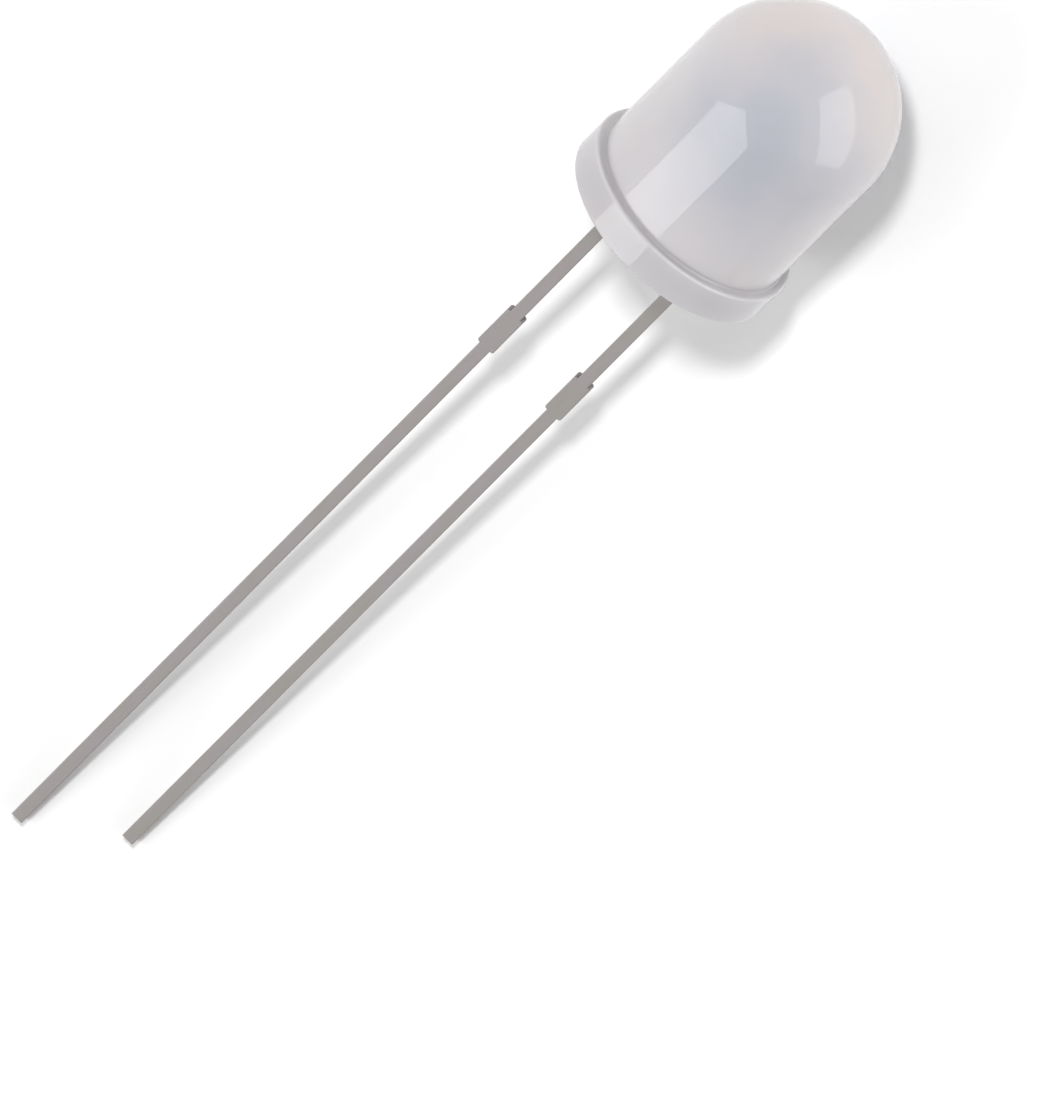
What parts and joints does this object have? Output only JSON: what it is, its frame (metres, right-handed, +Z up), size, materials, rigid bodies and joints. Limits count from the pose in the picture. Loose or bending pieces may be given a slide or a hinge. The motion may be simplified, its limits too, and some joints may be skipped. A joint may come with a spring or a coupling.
{
  "type": "through hole led",
  "caption": "Round through-hole LED lying on its flange rim and lead tips: a diffused white resin body with a domed end, on long square leads of unequal length.",
  "frame": {"origin": "centre of the flange's underside, where the optical axis crosses the seat on the board", "axes": "+Z up; the LED lies on a table, on the rim of its flange and the tips of both leads, so its optical axis runs along +X towards the dome and rises by about 6 degrees, and the anode is on the +Y side; the axis of panel_fit gives its exact direction"},
  "size_m": [0.0468, 0.0086, 0.0091],
  "materials": {
    "diffused_resin": "gloss",
    "plated_lead": "satin",
    "crystal": "satin",
    "silver_paste": "matte",
    "gold_wire": "satin"
  },
  "bodies": {
    "root": {"resin_body": "diffused_resin", "anode_lead": "plated_lead", "cathode_lead": "plated_lead", "led_chip": "crystal", "die_attach": "silver_paste", "bond_wire": "gold_wire"}
  },
  "joints": []
}
